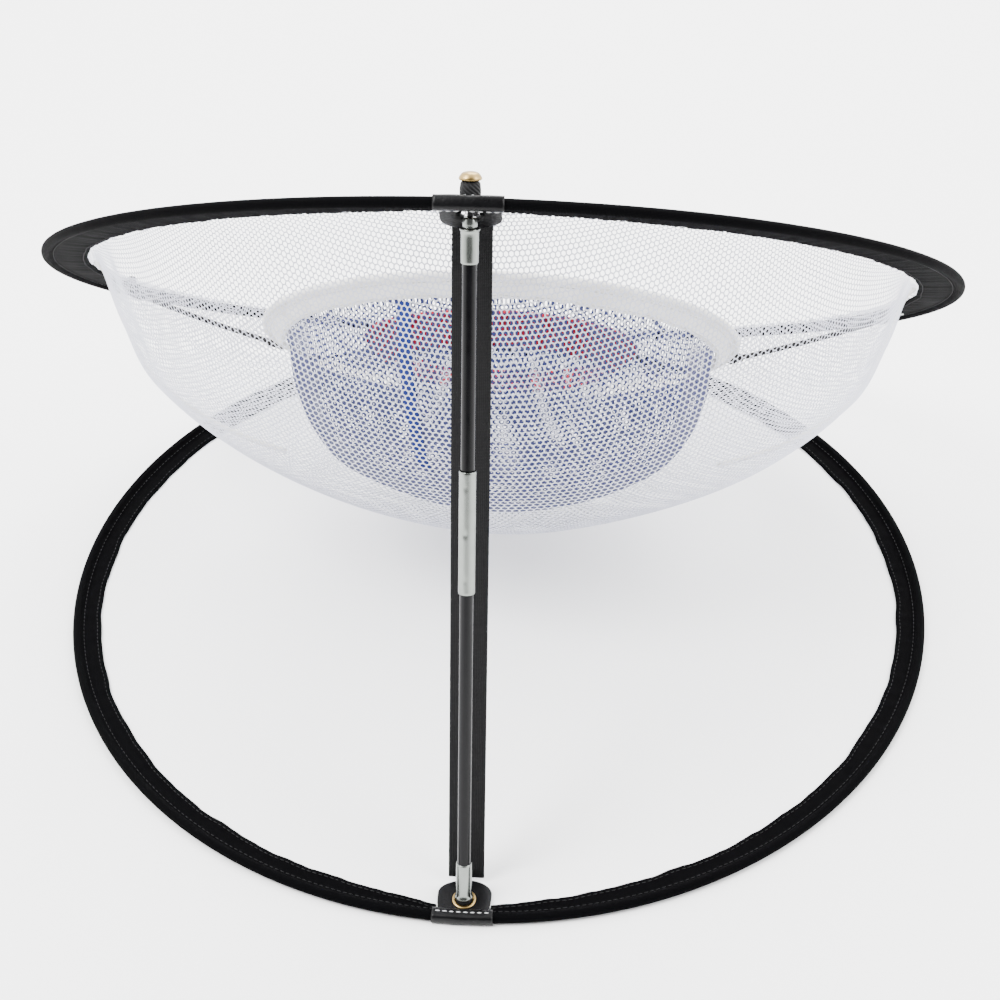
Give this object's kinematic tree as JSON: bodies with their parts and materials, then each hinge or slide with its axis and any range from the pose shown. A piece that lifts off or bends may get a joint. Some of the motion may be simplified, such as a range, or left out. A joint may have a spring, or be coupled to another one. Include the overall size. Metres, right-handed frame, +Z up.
{
  "type": "golf chipping net",
  "caption": "Pop-up golf chipping net: two hinged fabric-covered hoops held open by a folding pole, with nested mesh pockets on smaller hoops.",
  "frame": {"origin": "on the floor under the middle of the base hoop", "axes": "+Z up; the hoops are hinged at +Y and the pole stands at -Y, so the target faces +Y"},
  "size_m": [0.508, 0.5099, 0.3393],
  "materials": {
    "spring_wire": "bright drawn spring wire",
    "steel": "zinc-plated, satin",
    "brass": "dull brass",
    "black_fabric": "woven nylon, matt",
    "black_vinyl": "coated vinyl, glossy",
    "webbing": "flat woven webbing",
    "black_rod": "glossy black fibreglass",
    "elastic": "braided elastic cord",
    "white_mesh": "hexagonal polyester mesh",
    "blue_mesh": "hexagonal polyester mesh",
    "white_fabric": "woven nylon",
    "red_fabric": "woven nylon"
  },
  "bodies": {
    "base": {"base_hoop_wire": "spring_wire", "base_wire_joiner": "steel", "base_hoop_sleeve": "black_fabric", "base_patch": "black_vinyl", "base_tab": "black_vinyl", "base_eyelet": "brass", "base_cord_knot": "elastic", "hinge_loop": "webbing"},
    "target": {"target_hoop_wire": "spring_wire", "target_wire_joiner": "steel", "target_hoop_sleeve": "black_fabric", "target_patch": "black_vinyl", "target_tab": "black_vinyl", "target_eyelet": "brass", "cord_eyelets": "steel", "cord_stop": "elastic", "cord_cap": "brass", "outer_net": "white_mesh", "long_cord_left": "elastic", "long_cord_right": "elastic", "long_cord_near": "elastic", "strap": "webbing"},
    "lower_pole": {"lower_rod": "black_rod", "mid_ferrule": "steel", "lower_tip": "steel", "lower_shock_cord": "elastic"},
    "upper_pole": {"upper_rod": "black_rod", "upper_tip": "steel", "upper_shock_cord": "elastic"},
    "middle": {"middle_hoop_wire": "spring_wire", "middle_hoop_sleeve": "white_fabric", "middle_net": "blue_mesh", "short_cord_left": "elastic", "short_cord_right": "elastic", "short_cord_near": "elastic"},
    "inner": {"inner_hoop_wire": "spring_wire", "inner_hoop_sleeve": "red_fabric", "inner_net": "white_mesh"}
  },
  "joints": [
    {"name": "target_fold", "type": "hinge", "parent": "base", "child": "target", "pos_m": [0, 0.2505, 0.01065], "axis": [1, 0, 0], "range_deg": [0, 35], "deforming": ["strap"]},
    {"name": "lower_rod_fold", "type": "hinge", "parent": "base", "child": "lower_pole", "pos_m": [0, -0.24, 0.0094], "axis": [0, 0.9438, -0.3306], "range_deg": [0, 90.01]},
    {"name": "upper_rod_fold", "type": "hinge", "parent": "target", "child": "upper_pole", "pos_m": [0, -0.13099, 0.32057], "axis": [0, 0.9438, -0.3306], "range_deg": [0, 90.01]},
    {"name": "middle_swing", "type": "hinge", "parent": "target", "child": "middle", "pos_m": [0, 0.03795, 0.14853], "axis": [1, 0, 0], "range_deg": [-5, 5], "stiffness_Nm_per_rad": 1.2, "deforming": ["long_cord_left", "long_cord_right", "long_cord_near"]},
    {"name": "inner_swing", "type": "hinge", "parent": "middle", "child": "inner", "pos_m": [0, 0.03602, 0.14623], "axis": [1, 0, 0], "range_deg": [-5, 5], "stiffness_Nm_per_rad": 0.5, "deforming": ["short_cord_left", "short_cord_right", "short_cord_near"]}
  ],
  "couplings": [
    {"joint": "lower_rod_fold", "follows": "target_fold", "ratio": 2.5714},
    {"joint": "upper_rod_fold", "follows": "target_fold", "ratio": 2.5714}
  ]
}
